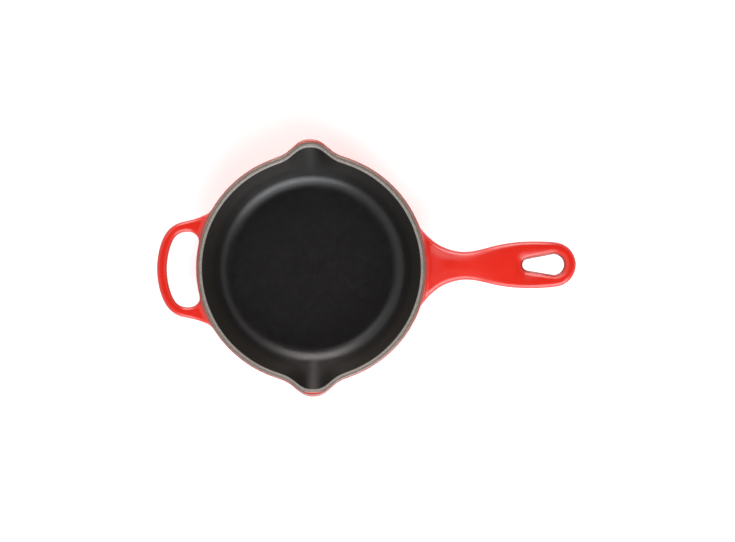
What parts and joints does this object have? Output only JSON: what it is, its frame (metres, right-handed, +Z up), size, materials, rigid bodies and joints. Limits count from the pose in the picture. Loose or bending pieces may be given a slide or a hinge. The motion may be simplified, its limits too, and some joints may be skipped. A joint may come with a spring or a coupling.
{
  "type": "cast iron skillet",
  "caption": "Small round enamelled cast iron skillet with opposite pouring spouts, a long handle with a hanging hole and a looped helper handle.",
  "frame": {"origin": "centre of the flat underside, where the axis of the round bowl meets the hob", "axes": "+X along the long handle, away from the bowl; +Z up, out of the open bowl; +Y towards one of the two pouring spouts"},
  "size_m": [0.3078, 0.189, 0.0521],
  "materials": {
    "iron": "sand-cast iron under the enamel, dark grey and matt",
    "red_enamel": "glossy orange-red vitreous enamel, slightly deeper where it pools",
    "black_enamel": "satin black vitreous enamel, finely grained",
    "rim_ground_coat": "bare grey-brown ground coat of the enamel on the lip, satin"
  },
  "bodies": {
    "root": {"bowl_casting": "iron", "long_handle_casting": "iron", "helper_handle_casting": "iron", "interior_enamel": "black_enamel", "rim_enamel": "rim_ground_coat", "bowl_exterior_enamel": "red_enamel", "underside_enamel": "red_enamel", "long_handle_enamel": "red_enamel", "helper_handle_enamel": "red_enamel"}
  },
  "joints": []
}
